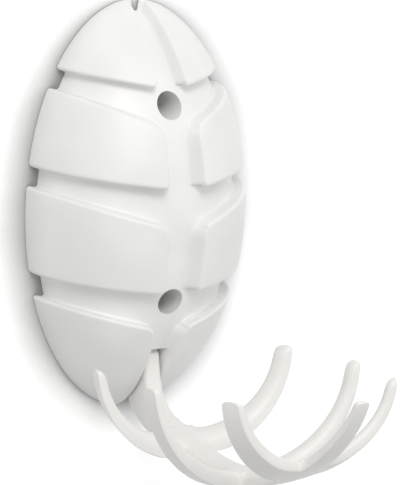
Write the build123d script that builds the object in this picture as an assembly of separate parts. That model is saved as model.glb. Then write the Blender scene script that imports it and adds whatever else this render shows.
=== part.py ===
from build123d import *
import os
from math import cos, radians, sin, sqrt

# A wall coat rack that folds flat. A domed shell is screwed to the wall. A frame of seven hooks turns on a
# pin in the shell's bottom slot: it stands out from the wall in use, and folds up into the shell's grooves.
# Millimetres and degrees. +X is to the right, -Y is away from the wall, +Z is up. The wall is the plane y = 0.
# Heights are from the middle of the shell until the pieces are placed, and then from midway between the two
# wall screws, where the origin lies on the wall. The frame is drawn folded and then opened.

# Shell
SHELL_WIDTH = 170.0
SHELL_HEIGHT = 300.0
SHELL_DEPTH = 83.5
WALL = 3.0
RELIEF_DEPTH = 13.0
RIM_RELIEF_DEPTH = 8.5
TIP_RELIEF_DEPTH = 8.0
PANEL_EDGE_RADIUS = 3.0
PROFILE_POINTEDNESS = 1.5
DOME_STEPS = 10
DOME_END_ANGLE = 6.0

# Channel down the middle of the shell, and the three pairs of grooves that cross it
CHANNEL_WIDTH = 25.0
CHANNEL_TOP_WIDTH = 11.0
GROOVE_RIM_HEIGHTS = (95.3, 27.0, -51.1)
GROOVE_SPINE_HEIGHTS = (76.9, 9.0, -66.4)
GROOVE_RIM_WIDTHS = (13.8, 13.6, 15.6)
GROOVE_SPINE_WIDTH = 28.5
UPPER_CORNER_RADIUS = 9.0
LOWER_CORNER_RADIUS = 4.5

# Screw wells
SCREW_HEIGHTS = (80.0, -59.0)
WELL_DIAMETER = 19.5
WELL_WALL = 3.0
SCREW_HOLE_DIAMETER = 5.5
SCREW_SEAT_THICKNESS = 6.0

# Slot, hinge and pin
SLOT_WIDTH = 17.0
SLOT_TOP_HEIGHT = -98.0
SLOT_ROOF = 4.0
CHEEK_THICKNESS = 5.0
HINGE_DEPTH = 27.0
HINGE_HEIGHT = -122.0
OPEN_ANGLE = 84.7
PIN_DIAMETER = 6.0
PIN_RUNNING_CLEARANCE = 0.07
PIN_END_CHAMFER = 0.6

# Hook frame
HOOK_CLEARANCE = 1.2
FRAME_RECESS = 2.6
FRAME_SIDE_RECESS = 2.0
FRAME_END_RECESS = 1.0
SPINE_SIDE_CLEARANCE = 1.5
FRONT_HOOK_SIDE_CLEARANCE = 0.8
HOOK_LOWER_CLEARANCE = 0.6
HOOK_TIP_WIDTH = 11.2
HOOK_TOP_CLEARANCE = 2.75
HOOK_ROOT_WIDTH = 15.0
HOOK_TIP_GAP = 3.0
HOOK_TIP_RADIUS = 4.6
HOOK_INNER_CHAMFER = 3.0
ROOT_RADIUS = 9.0

# Stem of the hook frame, set out from the hinge as it lies folded
STEM_SIDE_CLEARANCE = 0.5
STEM_SHOULDER_SETBACK = 16.0
STOP_CLEARANCE = 0.3
HEEL_LENGTH = 12.0
HEEL_START_ANGLE = 32.0
NECK_RADIUS = 14.0
NECK_SETBACK = 10.0
NECK_RISE = 4.0
NOSE_DEPTH = 31.0
NOSE_DROP = 12.0
NOSE_TOE_LENGTH = 12.0
NOSE_TIP_HEIGHT = 2.0
NOSE_BROW_DEPTH = 38.0
NOSE_BROW_HEIGHT = 17.0
SPINE_FOOT_HEIGHT = -60.0


def dome_section(half_width, depth, height):
    """A cross-section at one height: a half ellipse, flat at the wall and domed to the front."""
    front = EllipticalCenterArc((0, 0), half_width, depth, start_angle=180, arc_size=180)
    return Pos(0, 0, height) * make_face([front, Line(front @ 1, front @ 0)])


def dome(half_width, depth, half_height):
    """A lens-shaped half shell: an elliptical outline on the wall and a pointed profile from the side."""
    sections = []
    for step in range(DOME_STEPS + 1):
        angle = radians(DOME_END_ANGLE + (180 - 2 * DOME_END_ANGLE) * step / DOME_STEPS)
        reach = sin(angle)
        height = -half_height * cos(angle)
        sections.append(dome_section(half_width * reach, depth * reach ** PROFILE_POINTEDNESS, height))
    return loft(sections)


def panel_dome(inset):
    """The dome of the panels' faces, or the same dome set in by a wall."""
    return dome(SHELL_WIDTH / 2 - inset, SHELL_DEPTH - inset, SHELL_HEIGHT / 2 - inset)


def floor_dome(inset):
    """The dome of the grooves' floors, or the same dome set in by a wall."""
    half_width = SHELL_WIDTH / 2 - RIM_RELIEF_DEPTH - inset
    half_height = SHELL_HEIGHT / 2 - TIP_RELIEF_DEPTH - inset
    return dome(half_width, SHELL_DEPTH - RELIEF_DEPTH - inset, half_height)


def outwards(outline):
    """A front outline, drawn in X and Z, pushed out from the wall past the dome."""
    return extrude(Plane.XZ * outline, SHELL_DEPTH + RELIEF_DEPTH)


def rim_reach(height):
    """Half the shell's width on the wall at one height."""
    return SHELL_WIDTH / 2 * sqrt(1 - (height / (SHELL_HEIGHT / 2)) ** 2)


def lens(middle_width, end_width, half_length):
    """A long upright outline with bowed sides."""
    left = ThreePointArc((-end_width / 2, -half_length), (-middle_width / 2, 0), (-end_width / 2, half_length))
    right = ThreePointArc((end_width / 2, half_length), (middle_width / 2, 0), (end_width / 2, -half_length))
    return make_face([left, Line(left @ 1, right @ 0), right, Line(right @ 1, left @ 0)])


def cross_bar(spine_height, rim_height, spine_width, rim_width):
    """A pair of tapering bars that rise from the middle to the rim on both sides."""
    rim = rim_reach(rim_height)
    reach = rim + RIM_RELIEF_DEPTH
    end_height = spine_height + (rim_height - spine_height) * reach / rim
    end_width = spine_width + (rim_width - spine_width) * reach / rim
    right = Polyline(
        (0, spine_height - spine_width / 2),
        (reach, end_height - end_width / 2),
        (reach, end_height + end_width / 2),
        (0, spine_height + spine_width / 2),
        close=True,
    )
    bar = make_face(right)
    return bar + mirror(bar, Plane.YZ)


def relief_outline():
    """The front view of the channel and the grooves, with the corners of the panels rounded."""
    half_length = SHELL_HEIGHT / 2 + TIP_RELIEF_DEPTH
    outline = lens(CHANNEL_WIDTH, CHANNEL_TOP_WIDTH, half_length)
    for spine, rim, rim_width in zip(GROOVE_SPINE_HEIGHTS, GROOVE_RIM_HEIGHTS, GROOVE_RIM_WIDTHS):
        outline += cross_bar(spine, rim, GROOVE_SPINE_WIDTH, rim_width)
    for height in GROOVE_SPINE_HEIGHTS:
        outline = rounded_crossing(outline, height, -1, UPPER_CORNER_RADIUS)
        outline = rounded_crossing(outline, height, 1, LOWER_CORNER_RADIUS)
    return outline


def rounded_crossing(outline, height, side, radius):
    """Round the two corners above or below one crossing of a groove and the channel."""
    corners = []
    for corner in outline.vertices():
        beside_channel = 1 < abs(corner.X) < CHANNEL_WIDTH
        beside_groove = 0 < side * (corner.Y - height) < GROOVE_SPINE_WIDTH
        if beside_channel and beside_groove:
            corners.append(corner)
    return fillet(corners, radius)


def bar(middle, size):
    """A plain block by its middle and its size."""
    return Pos(*middle) * Box(*size)


def lying_rod(radius, length, depth, height):
    """A rod across the shell, along X."""
    return Pos(0, -depth, height) * Rot(0, 90, 0) * Cylinder(radius, length)


def standing_rod(radius, near, far, height):
    """A rod that points away from the wall, from one depth to another."""
    return Pos(0, -(near + far) / 2, height) * Rot(90, 0, 0) * Cylinder(radius, far - near)


def off_the_wall(edges, distance):
    """The edges whose middle stands further than a distance from the wall."""
    return [edge for edge in edges if -edge.center().Y > distance]


def moulding():
    """The outside of the shell: eight round-edged panels that stand up from the floor of the grooves."""
    body = floor_dome(0) + (panel_dome(0) - outwards(relief_outline()))
    panel_edges = []
    for face in body.faces().filter_by(GeomType.BSPLINE):
        if abs(face.center().X) > CHANNEL_WIDTH / 2:
            panel_edges += off_the_wall(face.edges(), PANEL_EDGE_RADIUS)
    return fillet(panel_edges, PANEL_EDGE_RADIUS)


def hollow():
    """The open back: it follows the floor and the panels a wall behind them."""
    pockets = panel_dome(WALL) - outwards(offset(relief_outline(), WALL))
    return floor_dome(WALL) + pockets


def slot_housing():
    """The walls that stay solid beside and above the slot, to carry the pin and stop the frame."""
    width = SLOT_WIDTH + 2 * CHEEK_THICKNESS
    top = SLOT_TOP_HEIGHT + SLOT_ROOF
    return bar((0, -SHELL_DEPTH / 2, top - SHELL_HEIGHT / 4), (width, SHELL_DEPTH, SHELL_HEIGHT / 2))


def shell():
    """The wall shell, one hollow moulding."""
    cavity = hollow() - slot_housing()
    for height in SCREW_HEIGHTS:
        cavity -= standing_rod(WELL_DIAMETER / 2 + WELL_WALL, 0, SHELL_DEPTH, height)
    body = moulding() - cavity
    slot_middle = SLOT_TOP_HEIGHT - SHELL_HEIGHT / 4
    body -= bar((0, -SHELL_DEPTH / 2, slot_middle), (SLOT_WIDTH, 2 * SHELL_DEPTH, SHELL_HEIGHT / 2))
    for height in SCREW_HEIGHTS:
        body -= standing_rod(WELL_DIAMETER / 2, SCREW_SEAT_THICKNESS, SHELL_DEPTH, height)
        body -= standing_rod(SCREW_HOLE_DIAMETER / 2, -WALL, SHELL_DEPTH, height)
    body -= lying_rod(PIN_DIAMETER / 2, SLOT_WIDTH + 2 * CHEEK_THICKNESS, HINGE_DEPTH, HINGE_HEIGHT)
    return body


def hinge_pin():
    """The plain steel pin that the frame turns on."""
    radius = PIN_DIAMETER / 2
    pin = lying_rod(radius, SLOT_WIDTH + 2 * CHEEK_THICKNESS, HINGE_DEPTH, HINGE_HEIGHT)
    return chamfer(pin.edges().filter_by(GeomType.CIRCLE), PIN_END_CHAMFER)


def frame_outline():
    """The front view of the folded frame: the spine and its six side hooks, with broad roots."""
    spine_width = CHANNEL_WIDTH - 2 * SPINE_SIDE_CLEARANCE
    front_width = CHANNEL_TOP_WIDTH - 2 * FRONT_HOOK_SIDE_CLEARANCE
    rise = (GROOVE_SPINE_WIDTH - HOOK_ROOT_WIDTH) / 2 - HOOK_TOP_CLEARANCE
    outline = lens(spine_width, front_width, SHELL_HEIGHT / 2)
    for spine, rim, rim_width in zip(GROOVE_SPINE_HEIGHTS, GROOVE_RIM_HEIGHTS, GROOVE_RIM_WIDTHS):
        tip = rim - rim_width / 2 + HOOK_LOWER_CLEARANCE + HOOK_TIP_WIDTH / 2
        outline += cross_bar(spine + rise, tip, HOOK_ROOT_WIDTH, HOOK_TIP_WIDTH)
    for height in GROOVE_SPINE_HEIGHTS:
        for side in (-1, 1):
            outline = rounded_crossing(outline, height + rise, side, ROOT_RADIUS)
    return outline


def frame_face():
    """The dome that the outer faces of the folded hooks lie on."""
    half_width = SHELL_WIDTH / 2 - FRAME_SIDE_RECESS
    return dome(half_width, SHELL_DEPTH - FRAME_RECESS, SHELL_HEIGHT / 2 - FRAME_END_RECESS)


def around_hinge(radius, degrees):
    """A point at a distance and an angle from the hinge, seen from the side: 0 is the wall's side, 90 is up."""
    return (radius * cos(radians(degrees)), radius * sin(radians(degrees)))


def stem_profile():
    """The side view of the folded stem: a heel that meets the stop, a neck, and a nose below the spine."""
    roof = SLOT_TOP_HEIGHT - HINGE_HEIGHT
    heel_radius = roof - STOP_CLEARANCE
    stop_angle = 90 - OPEN_ANGLE
    heel_start = around_hinge(heel_radius, HEEL_START_ANGLE)
    heel_middle = around_hinge(heel_radius, (HEEL_START_ANGLE + stop_angle) / 2)
    stop_start = around_hinge(heel_radius, stop_angle)
    along_stop = around_hinge(HEEL_LENGTH, stop_angle - 90)
    stop_end = (stop_start[0] + along_stop[0], stop_start[1] + along_stop[1])
    neck_back = (0, NECK_RADIUS)
    neck_front = (-NECK_SETBACK, NECK_RADIUS + NECK_RISE)
    shoulder = (-STEM_SHOULDER_SETBACK, heel_radius)
    foot_reach = 2 * SPINE_FOOT_HEIGHT / SHELL_HEIGHT
    foot_depth = (SHELL_DEPTH - FRAME_RECESS) * (1 - foot_reach ** 2) ** (PROFILE_POINTEDNESS / 2)
    spine_front = (HINGE_DEPTH - foot_depth, SPINE_FOOT_HEIGHT - HINGE_HEIGHT)
    spine_back = (spine_front[0] + RELIEF_DEPTH, spine_front[1])
    toe = (NOSE_TOE_LENGTH - NOSE_DEPTH, -NOSE_DROP)
    tip = (-NOSE_DEPTH, NOSE_TIP_HEIGHT)
    brow = (-NOSE_BROW_DEPTH, NOSE_BROW_HEIGHT)
    back = Polyline(spine_back, shoulder, neck_front, neck_back, heel_start)
    heel = ThreePointArc(heel_start, heel_middle, stop_start)
    under = Polyline(stop_start, stop_end, (HEEL_LENGTH, -NOSE_DROP), toe)
    nose = Spline(toe, tip, brow, spine_front)
    return make_face([back, heel, under, nose, Line(spine_front, spine_back)])


def stem():
    """The folded stem, as wide as the slot lets it be, with the hinge bore through it."""
    width = SLOT_WIDTH - 2 * STEM_SIDE_CLEARANCE
    plate = extrude(Plane.YZ * stem_profile(), width / 2, both=True)
    plate = Pos(0, -HINGE_DEPTH, HINGE_HEIGHT) * plate
    above_slot = bar((0, 0, 0), (SHELL_WIDTH, 2 * SHELL_DEPTH, 2 * abs(SLOT_TOP_HEIGHT) + 2))
    plate -= floor_dome(-HOOK_CLEARANCE) & above_slot
    bore = PIN_DIAMETER / 2 + PIN_RUNNING_CLEARANCE
    return plate - lying_rod(bore, SLOT_WIDTH, HINGE_DEPTH, HINGE_HEIGHT)


def rounded_tips(hooks):
    """Round off the upper and lower corners where the side hooks end near the wall."""
    corners = []
    for end in hooks.faces().filter_by(Axis.Y).group_by(Axis.Y)[-1]:
        if abs(end.center().X) > CHANNEL_WIDTH:
            corners += [edge for edge in end.edges() if abs(edge.tangent_at(0.5).X) > 0.7]
    return fillet(corners, HOOK_TIP_RADIUS)


def folded_frame():
    """The hook frame as it lies in the shell's grooves."""
    hooks = (frame_face() - floor_dome(-HOOK_CLEARANCE)) & outwards(frame_outline())
    hooks -= bar((0, 0, 0), (2 * SHELL_WIDTH, 2 * HOOK_TIP_GAP, 2 * SHELL_HEIGHT))
    hooks = rounded_tips(hooks)
    inner_face = hooks.faces().filter_by(GeomType.BSPLINE).sort_by(SortBy.AREA)[0]
    hooks = chamfer(off_the_wall(inner_face.edges(), 3 * HOOK_TIP_GAP), HOOK_INNER_CHAMFER)
    below = SLOT_TOP_HEIGHT - SHELL_HEIGHT
    hooks -= bar((0, 0, below), (2 * SHELL_WIDTH, 4 * SHELL_DEPTH, 2 * SHELL_HEIGHT))
    return hooks + stem()


def hook_frame():
    """The hook frame swung out about the hinge to its open stop, as it is used."""
    hinge = Axis((0, -HINGE_DEPTH, HINGE_HEIGHT), (1, 0, 0))
    return folded_frame().rotate(hinge, OPEN_ANGLE)


to_origin = Pos(0, 0, -(SCREW_HEIGHTS[0] + SCREW_HEIGHTS[1]) / 2)
os.makedirs("parts", exist_ok=True)
for name, piece in (("shell", shell()), ("hook_frame", hook_frame()), ("hinge_pin", hinge_pin())):
    export_step(to_origin * piece, f"parts/{name}.step")
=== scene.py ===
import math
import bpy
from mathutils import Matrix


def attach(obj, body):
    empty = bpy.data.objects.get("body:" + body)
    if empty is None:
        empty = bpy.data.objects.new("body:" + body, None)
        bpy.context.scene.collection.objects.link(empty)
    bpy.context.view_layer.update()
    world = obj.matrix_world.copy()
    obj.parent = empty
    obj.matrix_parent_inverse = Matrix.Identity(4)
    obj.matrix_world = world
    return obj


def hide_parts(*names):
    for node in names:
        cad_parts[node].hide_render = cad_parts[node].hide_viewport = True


bl_info = {
    "name": "Folding wall coat rack",
    "version": (1, 0, 0),
    "blender": (4, 5, 0),
    "location": "View3D > Sidebar > Coat rack",
    "description": "Dresses the wall shell, the folding hook frame and the hinge pin, and sets the studio",
    "category": "Object",
}

import bpy
import numpy as np
from mathutils import Matrix, Vector

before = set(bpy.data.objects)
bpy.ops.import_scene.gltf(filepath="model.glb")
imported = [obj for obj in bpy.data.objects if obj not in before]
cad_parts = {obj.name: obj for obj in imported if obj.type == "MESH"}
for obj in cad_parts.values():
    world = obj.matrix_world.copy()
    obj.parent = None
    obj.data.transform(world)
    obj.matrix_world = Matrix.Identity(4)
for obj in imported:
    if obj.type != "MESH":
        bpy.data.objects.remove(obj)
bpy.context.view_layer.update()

MM = 0.001
SHELL_MIDDLE = 0.0105  # the shell's middle is this far below the origin, which is midway between the screws

# Sizes below are in millimetres, and places are from the shell's middle, unless a comment says otherwise.
# Depths are negative, towards the room.

# The hinge pin's depth and height, the pin's bore in the shell and in the hook frame, and the swing
HINGE = (-27.0, -122.0)
PIN_RADIUS, BORE_RADIUS = 3.0, 3.07
OPEN_ANGLE = math.radians(84.7)

# The two domes of the shell and the two of the folded hook frame: half width, depth, half height
PANEL_DOME = (85.0, 83.5, 150.0)
FLOOR_DOME = (76.5, 70.5, 142.0)
HOOK_OUTER_DOME = (83.0, 80.9, 149.0)
HOOK_INNER_DOME = (76.8, 70.8, 142.4)
TIP_ZONE = 100.0  # above and below this height a lower dome's points draw in to its own tip

# Half widths of the lens-shaped channel and of the spine in it: at the shell's middle and at its tips
CHANNEL = (12.5, 5.5)
SPINE = (11.0, 4.6)

# The grooves' middle heights at the channel and at the rim, and their widths at the rim
GROOVES = ((76.9, 95.3, 13.8), (9.0, 27.0, 13.6), (-66.4, -51.1, 15.6))
GROOVE_ROOT_WIDTH = 28.5

# The shell's wall, the screws' posts, seats and holes, and the slot with its housing
WALL = 3.0
SCREW_HEIGHTS = (80.0, -59.0)
BOSS_RADIUS, SCREW_SEAT, SCREW_HOLE_RADIUS = 12.75, 6.0, 2.75
SLOT_HALF_WIDTH, SLOT_TOP = 8.5, -98.0
HOUSING_TOP, HOUSING_MARGIN = -93.0, 2.6

# The studio, in metres from the origin and in watts: each lamp's name, place, diameter, power and colour
LAMPS = (
    ("key", (-0.8, -2.1, 1.7), 1.2, 27, "fffdfa"),
    ("fill", (1.6, -2.2, 0.3), 1.8, 7, "fafcff"),
)
CAMERA_TARGET = (0.03653, -0.040, -0.02323 - SHELL_MIDDLE)
BACKDROP_SIZE = 8.0
BACKDROP_GLOW = 0.3  # what the backdrop sends to the camera besides the light that it reflects


def linear(hex_colour):
    """The linear colour of an sRGB hex value such as "f2f1ee"."""
    channels = [int(hex_colour[i:i + 2], 16) / 255 for i in (0, 2, 4)]
    return [c / 12.92 if c <= 0.04045 else ((c + 0.055) / 1.055) ** 2.4 for c in channels] + [1.0]


def node(tree, kind, links=(), **settings):
    """Adds a node: settings go to its attributes or inputs, and links join inputs to other nodes' outputs."""
    new = tree.nodes.new(kind)
    for name, value in settings.items():
        if hasattr(new, name):
            setattr(new, name, value)
        else:
            new.inputs[name.replace("_", " ")].default_value = value
    for name, source, output in links:
        tree.links.new(source.outputs[output], new.inputs[name])
    return new


def active(obj):
    """Makes obj the only selected object."""
    bpy.ops.object.select_all(action="DESELECT")
    obj.select_set(True)
    bpy.context.view_layer.objects.active = obj
    return obj


def shaped_grid(name, points):
    """A grid primitive whose vertices are moved to points, an array of rows by columns by 3, in metres."""
    rows, columns = points.shape[:2]
    bpy.ops.object.select_all(action="DESELECT")
    bpy.ops.mesh.primitive_grid_add(x_subdivisions=columns - 1, y_subdivisions=rows - 1, size=1)
    obj = bpy.context.object
    obj.name = name
    obj.data.vertices.foreach_set("co", points.reshape(-1).astype(np.float32))
    obj.data.update()
    return obj


def joined(objects, name):
    """Joins objects into one mesh with that name."""
    bpy.ops.object.select_all(action="DESELECT")
    for obj in objects:
        obj.select_set(True)
    bpy.context.view_layer.objects.active = objects[0]
    bpy.ops.object.join()
    obj = bpy.context.object
    obj.name = name
    obj.data.name = name
    return obj


def merged(obj, distance=0.00002):
    """Merges the doubles of a mesh, drops what has no area, and turns its faces outwards."""
    active(obj)
    bpy.ops.object.mode_set(mode="EDIT")
    bpy.ops.mesh.select_all(action="SELECT")
    bpy.ops.mesh.remove_doubles(threshold=distance)
    bpy.ops.mesh.dissolve_degenerate(threshold=distance / 4)
    bpy.ops.mesh.select_all(action="SELECT")
    bpy.ops.mesh.normals_make_consistent(inside=False)
    bpy.ops.object.mode_set(mode="OBJECT")
    return obj


def boolean(obj, cutter, operation):
    """Joins or cuts obj with another closed mesh, which is then removed."""
    active(obj)
    modifier = obj.modifiers.new(operation.title(), "BOOLEAN")
    modifier.operation = operation
    modifier.solver = "EXACT"
    modifier.object = cutter
    bpy.ops.object.modifier_apply(modifier=modifier.name)
    bpy.data.objects.remove(cutter)
    if not obj.data.polygons:
        raise RuntimeError(f"{obj.name} is empty after its {operation.lower()}")


def finish_piece(obj, body, material, smooth_angle, replaced):
    """Shades a finished piece, gives it its material and ties it to the body it moves with."""
    active(obj)
    bpy.ops.object.shade_smooth_by_angle(angle=math.radians(smooth_angle))
    obj.data.materials.clear()
    obj.data.materials.append(material)
    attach(obj, body)
    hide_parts(*replaced)


def cylinder(radius, start, end, segments=64):
    """A round bar between two points in millimetres from the shell's middle."""
    a, b = (Vector(point) * MM - Vector((0, 0, SHELL_MIDDLE)) for point in (start, end))
    turn = (b - a).to_track_quat("Z", "Y").to_euler()
    bpy.ops.object.select_all(action="DESELECT")
    bpy.ops.mesh.primitive_cylinder_add(
        vertices=segments, radius=radius * MM, depth=(b - a).length, location=(a + b) / 2, rotation=turn
    )
    bpy.ops.object.transform_apply(location=True, rotation=True, scale=True)
    return bpy.context.object


def across_hinge(radius, half_length):
    """A round bar along the hinge's axis."""
    return cylinder(radius, (-half_length, *HINGE), (half_length, *HINGE), 48)


def box(low, high):
    """A block between two corners in millimetres from the shell's middle."""
    middle = [(a + b) / 2 * MM for a, b in zip(low, high)]
    middle[2] -= SHELL_MIDDLE
    bpy.ops.object.select_all(action="DESELECT")
    scale = [(b - a) * MM for a, b in zip(low, high)]
    bpy.ops.mesh.primitive_cube_add(size=1, location=middle, scale=scale)
    bpy.ops.object.transform_apply(location=True, rotation=True, scale=True)
    return bpy.context.object


def placed(points):
    """Points in millimetres from the shell's middle, in metres in the row frame."""
    return points * MM - np.array((0, 0, SHELL_MIDDLE))


def smooth_step(value, low, high):
    """Rises smoothly from 0 at low to 1 at high."""
    t = np.clip((value - low) / (high - low), 0, 1)
    return t * t * (3 - 2 * t)


def half_width(dome, z):
    """Half the width of a dome on the wall at height z."""
    return dome[0] * np.sqrt(np.clip(1 - (z / dome[2]) ** 2, 0, 1))


def depth(dome, z):
    """How far a dome stands from the wall on its middle line at height z."""
    return dome[1] * np.clip(1 - (z / dome[2]) ** 2, 0, 1) ** 0.75


def on_dome(dome, x, z):
    """The depth of a dome's surface at x and z."""
    return -depth(dome, z) * np.sqrt(np.clip(1 - (x / np.maximum(half_width(dome, z), 1e-6)) ** 2, 0, 1))


def rim_on_line(dome, start, slope):
    """Where the line z = start + slope * x meets the rim of a dome, to the right."""
    a = 1 / dome[0] ** 2 + slope ** 2 / dome[2] ** 2
    b = 2 * start * slope / dome[2] ** 2
    c = start ** 2 / dome[2] ** 2 - 1
    return (-b + np.sqrt(np.maximum(b * b - 4 * a * c, 0))) / (2 * a)


def lens_half_width(z, widths):
    """Half the width at height z of the lens-shaped channel, or of the spine in it."""
    middle, end = widths
    return middle - (middle - end) * (z / PANEL_DOME[2]) ** 2


def tip_drop(z, amount, reach):
    """How far points near a tip move towards the middle, to end on a dome that is lower by that amount."""
    t = np.clip((np.abs(z) - TIP_ZONE) / reach, 0, 1)
    return np.sign(z) * amount * t * t


def rounded_corner(across, along, radius, fade):
    """Rounds a square corner: moves points that are given by their distances past its two edges."""
    near, far = np.minimum(across, along), np.maximum(across, along)
    reach = np.maximum(radius - near, 1e-6)
    turn = np.pi / 4 * np.clip(1 - (far - near) / reach, 0, 1)
    new_near, new_far = radius - reach * np.cos(turn), radius - reach * np.sin(turn)
    keep = smooth_step(near, -fade, -fade / 4) * (far - near < reach)
    new_near, new_far = near + keep * (new_near - near), far + keep * (new_far - far)
    flat = across <= along
    return np.where(flat, new_near, new_far), np.where(flat, new_far, new_near)


def quarter_round(distance, radius):
    """How far a rounded edge lies off its flat, at a distance from where it is steepest."""
    inside = np.clip(distance, 0, radius)
    return radius - np.sqrt(np.maximum(radius ** 2 - (radius - inside) ** 2, 0))


def edge_lines():
    """The six groove edges from the bottom up: start height, slope, and which side the panel is on."""
    edges = []
    for spine, rim, rim_width in reversed(GROOVES):
        reach = half_width(PANEL_DOME, rim)
        for side in (-1, 1):
            start = spine + side * GROOVE_ROOT_WIDTH / 2
            edges.append((start, (rim + side * rim_width / 2 - start) / reach, side))
    return edges


# The shell's mesh. The offsets are distances of rows and columns from a panel's edge, negative in the groove
EDGE_OFFSETS = (-2.9, -2.2, -1.5, -0.9, -0.4, 0.0, 0.12, 0.45, 0.95, 1.55, 2.2, 3.0, 3.35, 4.8)
SIDE_OFFSETS = (-5.8, -5.0, -4.2, -3.4, -2.6, -1.8, -1.0, -0.2, 0.6, 1.3, 2.0, 2.8, 3.6, 4.8)
ROW_STEP = 3.2
BOTTOM_ROWS, TOP_ROWS = 24, 21
OUTERMOST_ROW = 149.55
CHANNEL_COLUMNS, PANEL_COLUMNS = 4, 29

# The panels' edges: the round at the top, the round at the foot and where it begins, and the radii of the
# corners at the channel in the front view, for panels above and below a groove
PANEL_FILLET = 3.0
FOOT_FILLET, FOOT_START = 2.5, 0.4
CORNER_ABOVE, CORNER_BELOW = 4.5, 9.0
CORNER_FADE = 12.0
CHANNEL_WALL = (-4.0, 3.4)  # where the channel's sloping wall begins and ends, as side offsets


def shell_rows():
    """The rows of the shell's mesh as front-view lines: start, slope, nearest edge's number."""
    edges = edge_lines()
    tip = PANEL_DOME[2]
    (first, first_slope, _), (last, last_slope, _) = edges[0], edges[-1]
    rows = []
    low, high = math.asin(-OUTERMOST_ROW / tip), math.asin((first - EDGE_OFFSETS[-1]) / tip)
    for angle in np.linspace(low, high, BOTTOM_ROWS, endpoint=False):
        start = tip * math.sin(angle)
        rows.append((start, first_slope * (start + tip) / (first + tip), 0))
    for number, (start, slope, side) in enumerate(edges):
        offsets = EDGE_OFFSETS if side > 0 else EDGE_OFFSETS[::-1]
        rows.extend((start + side * offset, slope, number) for offset in offsets)
        if number + 1 == len(edges):
            break
        after, after_slope, after_side = edges[number + 1]
        low = start + side * offsets[-1]
        high = after + after_side * (EDGE_OFFSETS[-1] if after_side < 0 else EDGE_OFFSETS[0])
        count = max(3, round((high - low) / ROW_STEP))
        for t in np.linspace(0, 1, count + 1)[1:-1]:
            nearest = number if t < 0.5 else number + 1
            rows.append((low + (high - low) * t, slope + (after_slope - slope) * t, nearest))
    low, high = math.asin((last + EDGE_OFFSETS[-1]) / tip), math.asin(OUTERMOST_ROW / tip)
    for angle in np.linspace(low, high, TOP_ROWS + 1)[1:]:
        start = tip * math.sin(angle)
        rows.append((start, last_slope * (tip - start) / (tip - last), len(edges) - 1))
    return rows


def shell_sheet(inset):
    """The shell's outer sheet, or with an inset that of its hollow back, and its rows' start heights."""
    edges = edge_lines()
    rows = shell_rows()
    starts, slopes = (np.array([row[i] for row in rows])[:, None] for i in (0, 1))
    edge = np.array([edges[row[2]] for row in rows])
    edge_start, edge_slope, edge_side = (edge[:, i][:, None] for i in range(3))

    # towards the tips the channel's columns draw together with the rim
    panel_rim = rim_on_line(PANEL_DOME, starts, slopes)
    channel = np.minimum(lens_half_width(starts, CHANNEL), 0.45 * panel_rim)
    spread = channel / CHANNEL[0]
    squeeze = np.clip((0.62 * panel_rim - channel) / SIDE_OFFSETS[-1], 0.02, 1)
    near = np.array(SIDE_OFFSETS)
    x_near = channel + near * np.where(near > 0, np.minimum(squeeze, spread), spread)
    x_inner = x_near[:, :1] * np.linspace(0, 1, CHANNEL_COLUMNS, endpoint=False)
    outer = np.linspace(0, 1, PANEL_COLUMNS + 1)[1:]
    offset = np.concatenate([np.full(CHANNEL_COLUMNS, -9.0), near, np.full(PANEL_COLUMNS, 9.0)])[None, :]

    def columns(rim):
        alpha = np.arcsin(np.clip(x_near[:, -1:] / rim, 0, 1))
        return np.concatenate([x_inner, x_near, rim * np.sin(alpha + (np.pi / 2 - alpha) * outer)], axis=1)

    x_plain = columns(panel_rim)
    across = x_plain - channel
    along = edge_side * (starts + slopes * x_plain - edge_start - edge_slope * x_plain)
    radius = np.where(edge_side > 0, CORNER_ABOVE, CORNER_BELOW)
    round_across, round_along = rounded_corner(across, along, radius, CORNER_FADE)

    tip_reach = PANEL_DOME[2] - TIP_ZONE

    def surface(dome, drop):
        rim = panel_rim
        for _ in range(40):
            z = starts + slopes * rim
            rim = half_width(dome, z - tip_drop(z, drop, tip_reach))
        x = columns(rim) + (round_across - across)
        z = starts + slopes * x + edge_side * (round_along - along)
        z = z - tip_drop(z, drop, tip_reach)
        y = on_dome(dome, x, z)
        y[:, -1] = 0
        return np.stack([x, y, z], axis=2)

    panel = surface(tuple(size - inset for size in PANEL_DOME), inset)
    floor = surface(tuple(size - inset for size in FLOOR_DOME), PANEL_DOME[2] - FLOOR_DOME[2] + inset)
    if inset:
        blend = np.clip((np.minimum(offset, along) - inset) / 0.3, 0, 1)
    else:
        gap = np.maximum(np.linalg.norm(panel - floor, axis=2), 0.5)
        scale = np.minimum(1, gap / (PANEL_FILLET + FOOT_FILLET + 1))
        high = 1 - quarter_round(along, PANEL_FILLET) * scale / gap
        low = quarter_round(-along - FOOT_START, FOOT_FILLET) * scale / gap
        blend = np.where(along >= 0, high, low) * smooth_step(offset, *CHANNEL_WALL)
    return floor + blend[..., None] * (panel - floor), starts


def both_halves(right):
    """A right half sheet, whose first column is the middle line, with its mirrored left half."""
    left = right[:, :0:-1].copy()
    left[..., 0] *= -1
    middle = right[:, :1].copy()
    middle[..., 0] = 0
    return np.concatenate([left, middle, right[:, 1:]], axis=1)


def down_to_wall(sheet):
    """The sheet with a first and a last row that lie on the wall, as its sides do."""
    sheet = np.concatenate([sheet[:1], sheet, sheet[-1:]])
    for border in (np.s_[0], np.s_[-1], np.s_[:, 0], np.s_[:, -1]):
        sheet[border][..., 1] = 0
    return sheet


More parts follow.
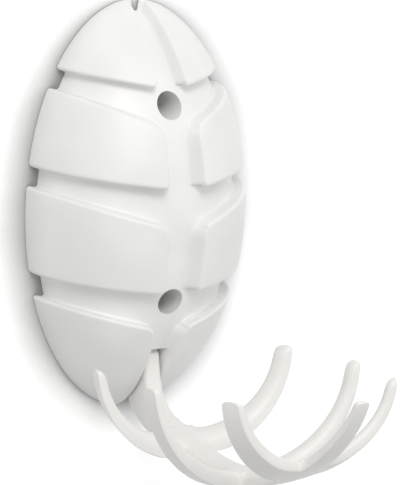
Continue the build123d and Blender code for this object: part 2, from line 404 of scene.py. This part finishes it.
def build_shell():
    """One hollow moulding: two sheets joined at the rim, with the hinge's housing solid down to the wall."""
    outside, starts = shell_sheet(0.0)
    inside, _ = shell_sheet(WALL)
    reach = lens_half_width(starts, CHANNEL) + HOUSING_MARGIN
    housing = (starts < HOUSING_TOP) & (np.abs(inside[..., 0]) < reach)
    inside[..., 1] = np.where(housing, 0.0, inside[..., 1])
    outer, inner = (placed(down_to_wall(both_halves(sheet))) for sheet in (outside, inside))
    strips = [outer, inner]
    for border in (np.s_[:, 0], np.s_[:, -1], np.s_[0], np.s_[-1]):
        strips.append(np.stack([outer[border], inner[border]]))
    return merged(joined([shaped_grid("sheet", strip) for strip in strips], "wall_shell"))


def screw_bosses():
    """Two round posts from the wall to the middle of the shell's wall under the channel."""
    middle = tuple(size - WALL / 2 for size in FLOOR_DOME)
    bosses = []
    for height in SCREW_HEIGHTS:
        boss = cylinder(BOSS_RADIUS, (0, 0, height), (0, -40, height))
        for vertex in boss.data.vertices:
            if vertex.co.y < -20 * MM:
                x, z = vertex.co.x / MM, (vertex.co.z + SHELL_MIDDLE) / MM
                vertex.co.y = float(on_dome(middle, x, z)) * MM
        active(boss)
        bpy.ops.object.mode_set(mode="EDIT")
        bpy.ops.mesh.select_all(action="SELECT")
        bpy.ops.mesh.quads_convert_to_tris()
        bpy.ops.object.mode_set(mode="OBJECT")
        bosses.append(boss)
    return joined(bosses, "screw_bosses")


def screw_wells(radius):
    """The wells for the screws' heads, with the small holes at their foot."""
    wells = []
    for height in SCREW_HEIGHTS:
        well = cylinder(radius, (0, -SCREW_SEAT, height), (0, -95, height))
        bpy.ops.object.mode_set(mode="EDIT")
        bpy.ops.mesh.select_mode(type="FACE")
        bpy.ops.mesh.select_all(action="DESELECT")
        bpy.ops.object.mode_set(mode="OBJECT")
        for face in well.data.polygons:
            face.select = face.normal.y > 0.9
        bpy.ops.object.mode_set(mode="EDIT")
        bpy.ops.mesh.inset(thickness=(radius - SCREW_HOLE_RADIUS) * MM)
        bpy.ops.mesh.extrude_region_move(TRANSFORM_OT_translate={"value": (0, 10 * MM, 0)})
        bpy.ops.object.mode_set(mode="OBJECT")
        wells.append(well)
    return joined(wells, "screw_wells")


# The hook frame's mesh: shares of the half width where a section has points, distances of columns from the
# spine's side, and distances from a hook's tip where its sides turn in
SECTION = (0.0, 0.3, 0.55, 0.75, 0.88, 0.955, 1.0)
ROOT_OFFSETS = (0.8, 1.8, 3.0, 4.4, 6.0, 7.8, 10.0)
TIP_STEPS = (6.5, 5.0, 3.8, 2.7, 1.8, 1.05, 0.5, 0.15, 0.0)
SPINE_TIP_ROWS, HOOK_COLUMNS = 19, 21

# The hooks: how far their roots lie above the grooves' middles and their tips above the grooves' lower edges,
# the radii of the roots' fillets, the squareness of the section, and the lengths over which a tip turns in and
# thins, each with its power
BAR_RISE = 2.6
TIP_GAP = 0.3
ROOT_RADIUS_ABOVE, ROOT_RADIUS_BELOW = 3.8, 9.0
ROOT_FADE = 7.5
SECTION_POWER = 3.0
TIP_TURN = (4.6, 3.0)
SIDE_TIP_THINNING, FRONT_TIP_THINNING = (11.0, 2.3), (7.0, 2.4)
NARROWEST = 0.02
SIDE_TIP_DEPTH = 3.0  # how far the side hooks' tips stay off the wall when folded
FRONT_TIP = 148.08  # height of the front hook's tip when folded

# The stem's side view from the spine down to the stop, set out from the hinge as it lies folded:
# outer line (towards the wall, up), inner line, squareness of the section, half width
STEM = (
    ((-42.6, 46.0), (-29.2, 46.0), 2.8, 8.1),
    ((-41.6, 38.0), (-26.0, 38.5), 3.2, 7.8),
    ((-40.4, 30.0), (-22.2, 31.5), 4.0, 7.5),
    ((-39.3, 23.5), (-18.4, 25.2), 5.0, 7.2),
    ((-38.0, 17.0), (-14.6, 20.4), 6.0, 7.2),
    ((-35.4, 9.5), (-10.6, 16.6), 7.0, 7.2),
    ((-31.0, 2.0), (-4.5, 15.0), 8.0, 7.2),
    ((-25.5, -6.0), (0.5, 14.0), 8.0, 7.2),
    ((-19.0, -11.4), (6.0, 13.6), 8.0, 7.2),
    ((-9.0, -12.0), (12.0, 13.1), 8.0, 7.2),
    ((2.0, -12.0), (18.6, 12.6), 8.0, 7.2),
    ((13.0, -11.8), (21.8, 9.2), 8.0, 7.2),
    ((24.6, -9.8), (23.6, 2.1), 8.0, 7.2),
)
STEM_TOP = 62.0  # height above the hinge where the spine begins to run into the stem
STEM_DEPTH = 44.0  # depth of the stem's outer line there, from the hinge


def bar_lines(root_half, tip_half):
    """The side hooks from the bottom up: middle height and slope, half width at the root and its slope."""
    bars = []
    for spine, rim, rim_width in reversed(GROOVES):
        reach = half_width(PANEL_DOME, rim)
        root = spine + BAR_RISE
        tip = rim - rim_width / 2 + TIP_GAP + tip_half
        bars.append((root, (tip - root) / reach, root_half, (tip_half - root_half) / reach))
    return bars


def section_height(share, power):
    """The thickness of a hook's rounded inner side at a share of its half width, 1 in the middle."""
    share = np.clip(np.abs(share), 0, 1)
    return (1 - share ** power) ** (1 / power)


def tip_shares(distance, length, power):
    """How much of its width or thickness a hook keeps at a distance from its tip."""
    share = np.clip(1 - distance / length, 0, 1)
    return np.maximum(1 - share ** power, 0) ** (1 / power)


def distance_to_tip(curve):
    """The distance along a line of points from each point to the last."""
    steps = np.linalg.norm(np.diff(curve, axis=0), axis=1)
    return np.append(np.cumsum(steps[::-1])[::-1], 0.0)


def spine_rows(bars, shares):
    """The spine's rows: start, slope, the nearest bar's number, the side of it, and the share in the bar."""
    rows = []
    root, slope, half, half_slope = bars[0]
    for offset in ROOT_OFFSETS[::-1]:
        rows.append((root - half - offset, (slope - half_slope) * (1 - offset / 14), 0, -1, 1.0))
    for number, (root, slope, half, half_slope) in enumerate(bars):
        for share in shares:
            side = 1 if share > 0 else -1
            rows.append((root + share * half, slope + share * half_slope, number, side, abs(share)))
        top, top_slope = root + half, slope + half_slope
        rows.extend((top + offset, top_slope, number, 1, 1.0) for offset in ROOT_OFFSETS)
        if number + 1 == len(bars):
            break
        after, after_slope, after_half, after_half_slope = bars[number + 1]
        bottom, bottom_slope = after - after_half, after_slope - after_half_slope
        low, high = top + ROOT_OFFSETS[-1], bottom - ROOT_OFFSETS[-1]
        for t in np.linspace(0, 1, round((high - low) / ROW_STEP) + 1)[1:-1]:
            nearest = (number, 1) if t < 0.5 else (number + 1, -1)
            rows.append((low + (high - low) * t, top_slope + (bottom_slope - top_slope) * t, *nearest, 1.0))
        rows.extend((bottom - offset, bottom_slope, number + 1, -1, 1.0) for offset in ROOT_OFFSETS[::-1])
    tip = HOOK_OUTER_DOME[2]
    start, end = math.asin((top + ROOT_OFFSETS[-1]) / tip), math.asin(FRONT_TIP / tip)
    tip_angles = [end - step / 125 for step in TIP_STEPS]
    for angle in list(np.linspace(start, tip_angles[0], SPINE_TIP_ROWS + 1)[1:]) + tip_angles[1:]:
        share = (angle - start) / (end - start)
        rows.append((tip * math.sin(angle), top_slope * (1 - share), len(bars) - 1, 1, 1.0))
    return rows


def hook_points(x, z, edge):
    """Moves front-view points near the roots of the hooks, so that each root is a round fillet."""
    root, slope, half, half_slope, side = edge
    right = np.abs(x)
    across = right - lens_half_width(z, SPINE)
    along = side * (z - (root + slope * right + side * (half + half_slope * right)))
    radius = np.where(side > 0, ROOT_RADIUS_ABOVE, ROOT_RADIUS_BELOW)
    round_across, round_along = rounded_corner(across, along, radius, ROOT_FADE)
    return np.sign(x) * (right + round_across - across), z + side * (round_along - along)


def stem_bulge(x, z):
    """How far the spine's foot stands out past its dome, so that it runs into the stem."""
    foot = HINGE[1] + STEM_TOP - z
    stem_line = HINGE[0] - STEM_DEPTH + 0.1 * np.clip(foot, 0, 20)
    proud = np.clip(on_dome(HOOK_OUTER_DOME, x, z) - stem_line, 0, 20) * smooth_step(foot, 0, 6)
    return proud * (1 - smooth_step(np.abs(x), 8.0, 12.5))


def hook_sheets(x, z, height):
    """The outer and inner sheets over front-view points, with the inner side's height in shares."""
    # outside the spine the hooks swell a little past their dome
    swell = smooth_step(np.abs(x), 10, 30)
    outer_y = on_dome(HOOK_OUTER_DOME, x, z) * (1 + 0.03 * swell) - stem_bulge(x, z)
    outer = np.stack([x * (1 + 0.013 * swell), outer_y, z], axis=-1)
    # towards the rim the inner sheet draws in to its own dome
    inner_z = z - tip_drop(z, 5.8, HOOK_OUTER_DOME[2] - TIP_ZONE)
    shrink = half_width(HOOK_INNER_DOME, inner_z) / half_width(HOOK_OUTER_DOME, z)
    inner_x = x * (1 + (shrink - 1) * smooth_step(np.abs(x), 14, 45))
    inner = np.stack([inner_x, on_dome(HOOK_INNER_DOME, inner_x, inner_z), inner_z], axis=-1)
    # the two sheets meet a little inside the outer one, so that no edge is sharp
    edge_drop = 0.05 * (height <= 0.0)
    outside = outer + edge_drop[..., None] * (inner - outer)
    inside = outer + np.maximum(height, edge_drop)[..., None] * (inner - outer)
    return outside, inside


def stem_sheets(shares):
    """The outer and inner rows of the stem, from the stop up to the spine."""
    outside, inside = [], []
    for outer, inner, power, half in STEM[::-1]:
        height = section_height(shares, power)
        edge_drop = 0.03 * (height <= 0)
        for rows, level in ((outside, edge_drop), (inside, np.maximum(height, edge_drop))):
            y, z = (HINGE[i] + outer[i] + level * (inner[i] - outer[i]) for i in (0, 1))
            rows.append(np.stack([shares * half, y, z], axis=1))
    return np.array(outside), np.array(inside)


def spine_sheets(bars, shares):
    """The outer and inner sheets of the spine, with the front hook at its end."""
    rows = spine_rows(bars, shares)
    starts, slopes, in_bar = (np.array([row[i] for row in rows])[:, None] for i in (0, 1, 4))
    edge = [np.array([bars[row[2]][i] for row in rows])[:, None] for i in range(4)]
    edge.append(np.array([row[3] for row in rows])[:, None])
    to_tip = distance_to_tip(np.concatenate([on_dome(HOOK_OUTER_DOME, 0, starts), starts], axis=1))[:, None]
    x = lens_half_width(starts, SPINE) * shares * np.maximum(tip_shares(to_tip, *TIP_TURN), NARROWEST)
    x, z = hook_points(x, starts + slopes * np.abs(x), edge)
    height = section_height(shares * in_bar, SECTION_POWER) * tip_shares(to_tip, *FRONT_TIP_THINNING)
    return hook_sheets(x, z, height)


def side_hook(bar, shares):
    """The front-view points of a right side hook, and its section's height in shares."""
    root, slope, half, half_slope = bar
    share = shares[:, None]
    start, line_slope = root + share * half, slope + share * half_slope
    rim = rim_on_line(HOOK_OUTER_DOME, start, line_slope)
    near = lens_half_width(start, SPINE) + np.array((0.0,) + ROOT_OFFSETS)
    tip_depth = depth(HOOK_OUTER_DOME, start + line_slope * rim)
    start_angle = np.arcsin(near[:, -1:] / rim)
    end_angle = np.arccos(np.clip(SIDE_TIP_DEPTH / tip_depth, 0, 1))
    turn_angle = end_angle - TIP_STEPS[0] / tip_depth
    even = start_angle + (turn_angle - start_angle) * np.linspace(0, 1, HOOK_COLUMNS + 1)[1:]
    angles = np.concatenate([even, end_angle - np.array(TIP_STEPS[1:]) / tip_depth], axis=1)
    plain_x = np.concatenate([near, rim * np.sin(angles)], axis=1)
    middle = len(shares) // 2
    middle_x, middle_z = plain_x[middle], start[middle] + line_slope[middle] * plain_x[middle]
    to_tip = distance_to_tip(np.stack([middle_x, on_dome(HOOK_OUTER_DOME, middle_x, middle_z)], axis=1))
    narrow = np.maximum(tip_shares(to_tip, *TIP_TURN), NARROWEST)
    # each point's x and z depend on each other through the dome's width, so they are found by repeating
    along = np.concatenate([0 * near, (angles - start_angle) / (end_angle - start_angle)], axis=1)
    x = plain_x
    for _ in range(12):
        z = root + slope * x + share * (half + half_slope * x) * narrow
        full = half_width(HOOK_OUTER_DOME, z[:, near.shape[1]:]) * np.sin(angles)
        x = plain_x + along * (np.concatenate([near, full], axis=1) - plain_x)
    return x, z, section_height(share, SECTION_POWER) * tip_shares(to_tip, *SIDE_TIP_THINNING)


def swung_open(points):
    """Turns folded points, in millimetres, about the hinge to the open stop."""
    y, z = points[..., 1] - HINGE[0], points[..., 2] - HINGE[1]
    c, s = math.cos(OPEN_ANGLE), math.sin(OPEN_ANGLE)
    return np.stack([points[..., 0], y * c - z * s + HINGE[0], y * s + z * c + HINGE[1]], axis=-1)


def build_hook_frame(sizes):
    """Stem, spine and six side hooks as shaped grids, merged into one closed moulding."""
    bars = bar_lines(sizes.hook_root_width / 2 / MM, sizes.hook_tip_width / 2 / MM)
    shares = np.array([-share for share in SECTION[:0:-1]] + list(SECTION))
    side = np.where(shares > 0, 1, -1)[:, None]
    outside, inside = (np.concatenate(pair) for pair in zip(stem_sheets(shares), spine_sheets(bars, shares)))
    sheets = [outside, inside, np.stack([outside[0], inside[0]])]
    for bar in bars:
        x, z, height = side_hook(bar, shares)
        for hand in (1, -1):
            sheets.extend(hook_sheets(*hook_points(hand * x, z, (*bar, side)), height))
    parts = [shaped_grid("sheet", placed(swung_open(sheet))) for sheet in sheets]
    return merged(joined(parts, "hook_frame_moulding"), 0.00004)


def moulded_plastic(name, colour, roughness, tint):
    """Satin injection-moulded ABS: a fine spark-eroded grain, and a faint drift of tone from the melt."""
    material = bpy.data.materials.new(name)
    material.use_nodes = True
    tree = material.node_tree
    tree.nodes.clear()
    place = node(tree, "ShaderNodeTexCoord")
    # spark-eroded grain is about 0.15 mm, drawn as 0.8 mm so that it shows
    grain = node(tree, "ShaderNodeTexNoise", [("Vector", place, "Object")], Scale=1250.0, Detail=2.0)
    # melt flow drifts over 40 mm
    drift = node(tree, "ShaderNodeTexNoise", [("Vector", place, "Object")], Scale=25.0, Detail=1.0)
    ramp = node(tree, "ShaderNodeValToRGB", [("Fac", drift, "Fac")])
    ramp.color_ramp.elements[0].position = 0.35
    ramp.color_ramp.elements[1].position = 0.65
    ramp.color_ramp.elements[0].color = linear(tint)
    ramp.color_ramp.elements[1].color = linear(colour)
    gloss = node(
        tree, "ShaderNodeMapRange", [("Value", grain, "Fac")],
        To_Min=roughness - 0.04, To_Max=roughness + 0.05,
    )
    bump = node(tree, "ShaderNodeBump", [("Height", grain, "Fac")], Strength=0.06, Distance=0.00004)
    shader = node(
        tree, "ShaderNodeBsdfPrincipled",
        [("Base Color", ramp, "Color"), ("Roughness", gloss, "Result"), ("Normal", bump, "Normal")], IOR=1.53,
    )
    node(tree, "ShaderNodeOutputMaterial", [("Surface", shader, "BSDF")])
    return material


def drawn_steel():
    """Bright drawn steel rod: grey, with fine lines left by the die along its length."""
    material = bpy.data.materials.new("drawn_steel")
    material.use_nodes = True
    tree = material.node_tree
    tree.nodes.clear()
    place = node(tree, "ShaderNodeTexCoord")
    stretch = node(tree, "ShaderNodeMapping", [("Vector", place, "Object")], Scale=(20.0, 1600.0, 1600.0))
    lines = node(tree, "ShaderNodeTexNoise", [("Vector", stretch, "Vector")], Scale=1.0, Detail=2.0)
    gloss = node(tree, "ShaderNodeMapRange", [("Value", lines, "Fac")], To_Min=0.25, To_Max=0.42)
    bump = node(tree, "ShaderNodeBump", [("Height", lines, "Fac")], Strength=0.1, Distance=0.00002)
    shader = node(
        tree, "ShaderNodeBsdfPrincipled", [("Roughness", gloss, "Result"), ("Normal", bump, "Normal")],
        Base_Color=linear("b9b8b5"), Metallic=1.0,
    )
    node(tree, "ShaderNodeOutputMaterial", [("Surface", shader, "BSDF")])
    return material


def studio_white(name, bounce):
    """Matt studio paper: white to the camera, with the object's real shadow and a painted contact shadow
    around it, and a plain bounce for other rays.
    """
    material = bpy.data.materials.new(name)
    material.use_nodes = True
    tree = material.node_tree
    tree.nodes.clear()
    ray = node(tree, "ShaderNodeLightPath")
    links = [(0, ray, "Is Camera Ray"), (1, ray, "Is Glossy Ray")]
    direct = node(tree, "ShaderNodeMath", links, operation="MAXIMUM")
    links = [(0, direct, "Value"), (1, ray, "Is Transmission Ray")]
    seen = node(tree, "ShaderNodeMath", links, operation="MAXIMUM")
    plain = node(tree, "ShaderNodeBsdfDiffuse", Color=(bounce, bounce, bounce, 1))
    # painted contact shadow: an ambient occlusion ramp darkens the wall's colour and its glow near the object,
    # fading out over 42 mm
    painted_contact_shadow = node(tree, "ShaderNodeAmbientOcclusion", samples=16, Distance=0.042)
    shade = node(tree, "ShaderNodeValToRGB", [("Fac", painted_contact_shadow, "AO")])
    stops = shade.color_ramp.elements
    stops[0].position, stops[0].color = 0.4, (0.22, 0.22, 0.22, 1)
    stops[1].position, stops[1].color = 0.97, (1, 1, 1, 1)
    stops.new(0.7).color = (0.5, 0.5, 0.5, 1)
    # the painted shadow darkens both the light the wall reflects and the glow it sends to the camera
    diffuse = node(tree, "ShaderNodeBsdfDiffuse", [("Color", shade, "Color")])
    glow = node(tree, "ShaderNodeEmission", [("Color", shade, "Color")], Strength=BACKDROP_GLOW)
    bright = node(tree, "ShaderNodeAddShader", [(0, diffuse, "BSDF"), (1, glow, "Emission")])
    links = [("Fac", seen, "Value"), (1, plain, "BSDF"), (2, bright, "Shader")]
    mix = node(tree, "ShaderNodeMixShader", links)
    node(tree, "ShaderNodeOutputMaterial", [("Surface", mix, "Shader")])
    return material


class RackSizes(bpy.types.PropertyGroup):
    """Sizes of the rack that the moulding leaves free."""

    well_diameter: bpy.props.FloatProperty(
        name="Screw well", description="Diameter of the wells for the screws' heads",
        default=0.0195, unit="LENGTH",
    )
    hook_root_width: bpy.props.FloatProperty(
        name="Hook root width", description="Width of a side hook at the shell's middle line",
        default=0.0218, unit="LENGTH",
    )
    hook_tip_width: bpy.props.FloatProperty(
        name="Hook tip width", description="Width of a side hook at the shell's rim",
        default=0.0128, unit="LENGTH",
    )


class RackColours(bpy.types.PropertyGroup):
    """Colours and finish of the mouldings."""

    shell_colour: bpy.props.StringProperty(
        name="Shell colour", description="sRGB hex colour of the wall shell", default="f3f3f2"
    )
    hook_colour: bpy.props.StringProperty(
        name="Hook colour", description="sRGB hex colour of the hook frame", default="f1f0ed"
    )
    roughness: bpy.props.FloatProperty(
        name="Roughness", description="Roughness of the satin plastic",
        default=0.42, min=0.05, max=1.0, subtype="FACTOR",
    )


class RackStage(bpy.types.PropertyGroup):
    """Camera and light of the studio."""

    camera_distance: bpy.props.FloatProperty(
        name="Camera distance", description="From the camera to the point it looks at",
        default=1.48712, unit="LENGTH",
    )
    camera_azimuth: bpy.props.FloatProperty(
        name="Camera azimuth", description="How far the camera stands to the left of straight on",
        default=math.radians(32.24), subtype="ANGLE",
    )
    camera_elevation: bpy.props.FloatProperty(
        name="Camera elevation", description="How far the camera looks down",
        default=math.radians(11.64), subtype="ANGLE",
    )
    camera_roll: bpy.props.FloatProperty(
        name="Camera roll", description="Turn of the picture", default=math.radians(1.75), subtype="ANGLE"
    )
    lens: bpy.props.FloatProperty(
        name="Lens", description="Focal length for a picture 36 mm high",
        default=152.5, subtype="DISTANCE_CAMERA",
    )
    world_strength: bpy.props.FloatProperty(
        name="Room light", description="Strength of the even light from all round", default=0.7, min=0.0
    )


class RACK_OT_shell(bpy.types.Operator):
    """Model the domed wall shell with its panels, grooves, wells and slot"""

    bl_idname = "rack.shell"
    bl_label = "Wall shell"

    def execute(self, context):
        colours = context.scene.rack_colours
        shell = build_shell()
        boolean(shell, screw_bosses(), "UNION")
        boolean(shell, screw_wells(context.scene.rack_sizes.well_diameter / 2 / MM), "DIFFERENCE")
        boolean(shell, box((-SLOT_HALF_WIDTH, -100, -190), (SLOT_HALF_WIDTH, 10, SLOT_TOP)), "DIFFERENCE")
        boolean(shell, across_hinge(PIN_RADIUS, 13.5), "DIFFERENCE")
        material = moulded_plastic("moulded_abs_shell", colours.shell_colour, colours.roughness, "eeeeed")
        finish_piece(shell, "wall_shell", material, 33, ["shell"])
        return {"FINISHED"}


class RACK_OT_hooks(bpy.types.Operator):
    """Model the hook frame: spine, stem, front hook and six side hooks"""

    bl_idname = "rack.hooks"
    bl_label = "Hook frame"

    def execute(self, context):
        colours = context.scene.rack_colours
        hooks = build_hook_frame(context.scene.rack_sizes)
        boolean(hooks, across_hinge(BORE_RADIUS, 12), "DIFFERENCE")
        material = moulded_plastic("moulded_abs_hooks", colours.hook_colour, colours.roughness, "eeedea")
        finish_piece(hooks, "hooks", material, 40, ["hook_frame"])
        return {"FINISHED"}


class RACK_OT_pin(bpy.types.Operator):
    """Give the hinge pin its drawn steel"""

    bl_idname = "rack.pin"
    bl_label = "Hinge pin"

    def execute(self, context):
        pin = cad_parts["hinge_pin"]
        pin.data.materials.clear()
        pin.data.materials.append(drawn_steel())
        return {"FINISHED"}


def area_light(name, location, size, power, colour):
    """A soft box that points at the origin."""
    bpy.ops.object.light_add(type="AREA", location=location)
    lamp = bpy.context.object
    lamp.name = name
    lamp.rotation_euler = (-Vector(location)).to_track_quat("-Z", "Y").to_euler()
    lamp.data.shape = "DISK"
    lamp.data.size = size
    lamp.data.energy = power
    lamp.data.color = linear(colour)[:3]


def backdrop(name, location, rotation, material):
    """One of the studio's two planes."""
    bpy.ops.object.select_all(action="DESELECT")
    bpy.ops.mesh.primitive_plane_add(size=BACKDROP_SIZE, location=location, rotation=rotation)
    plane = bpy.context.object
    plane.name = name
    bpy.ops.object.transform_apply(location=True, rotation=True, scale=True)
    plane.data.materials.append(material)
    return plane


class RACK_OT_stage(bpy.types.Operator):
    """Set the wall, the floor, the lights and the camera"""

    bl_idname = "rack.stage"
    bl_label = "Stage"

    def execute(self, context):
        stage = context.scene.rack_stage
        wall = backdrop("studio_wall", (0, 0.0005, 0), (math.pi / 2, 0, 0), studio_white("matt_wall", 0.72))
        floor = backdrop("studio_floor", (0, -4, -1.2), (0, 0, 0), studio_white("matt_floor", 0.52))
        for lamp in LAMPS:
            area_light(*lamp)
        self.room(context, stage)
        self.camera(context, stage)
        return {"FINISHED"}

    def room(self, context, stage):
        """Even light from all round, which the camera sees as white."""
        world = bpy.data.worlds.new("studio_room")
        context.scene.world = world
        world.use_nodes = True
        tree = world.node_tree
        tree.nodes.clear()
        light = node(tree, "ShaderNodeBackground", Color=(1, 1, 1, 1), Strength=stage.world_strength)
        white = node(tree, "ShaderNodeBackground", Color=(1, 1, 1, 1), Strength=1.0)
        ray = node(tree, "ShaderNodeLightPath")
        links = [("Fac", ray, "Is Camera Ray"), (1, light, "Background"), (2, white, "Background")]
        mix = node(tree, "ShaderNodeMixShader", links)
        node(tree, "ShaderNodeOutputWorld", [("Surface", mix, "Shader")])
        context.scene.view_settings.view_transform = "Standard"

    def camera(self, context, stage):
        """A long lens at the photograph's angle."""
        turn, tilt, roll = -stage.camera_azimuth, stage.camera_elevation, stage.camera_roll
        back = Vector((math.sin(turn) * math.cos(tilt), -math.cos(turn) * math.cos(tilt), math.sin(tilt)))
        level = (-back).cross(Vector((0, 0, 1))).normalized()
        plumb = level.cross(-back)
        right = level * math.cos(roll) + plumb * math.sin(roll)
        up = -level * math.sin(roll) + plumb * math.cos(roll)
        bpy.ops.object.camera_add(location=Vector(CAMERA_TARGET) + back * stage.camera_distance)
        camera = bpy.context.object
        camera.name = "photo_camera"
        camera.rotation_euler = Matrix([[right[i], up[i], back[i]] for i in range(3)]).to_euler()
        camera.data.sensor_fit = "VERTICAL"
        camera.data.sensor_height = 36
        camera.data.lens = stage.lens
        context.scene.camera = camera


class RACK_PT_panel(bpy.types.Panel):
    """Lists the pieces of the rack and their settings."""

    bl_label = "Coat rack"
    bl_idname = "RACK_PT_panel"
    bl_space_type = "VIEW_3D"
    bl_region_type = "UI"
    bl_category = "Coat rack"

    def draw(self, context):
        scene = context.scene
        for operator in (RACK_OT_shell, RACK_OT_hooks, RACK_OT_pin, RACK_OT_stage):
            self.layout.operator(operator.bl_idname)
        for group in (scene.rack_sizes, scene.rack_colours, scene.rack_stage):
            for name in group.bl_rna.properties.keys():
                if name not in ("rna_type", "name"):
                    self.layout.prop(group, name)


CLASSES = (
    RackSizes, RackColours, RackStage,
    RACK_OT_shell, RACK_OT_hooks, RACK_OT_pin, RACK_OT_stage, RACK_PT_panel,
)


def register():
    for cls in CLASSES:
        bpy.utils.register_class(cls)
    bpy.types.Scene.rack_sizes = bpy.props.PointerProperty(type=RackSizes)
    bpy.types.Scene.rack_colours = bpy.props.PointerProperty(type=RackColours)
    bpy.types.Scene.rack_stage = bpy.props.PointerProperty(type=RackStage)


def unregister():
    del bpy.types.Scene.rack_stage
    del bpy.types.Scene.rack_colours
    del bpy.types.Scene.rack_sizes
    for cls in reversed(CLASSES):
        bpy.utils.unregister_class(cls)


def main():
    register()
    bpy.ops.rack.shell()
    bpy.ops.rack.hooks()
    bpy.ops.rack.pin()
    bpy.ops.rack.stage()


if __name__ == "__main__":
    main()
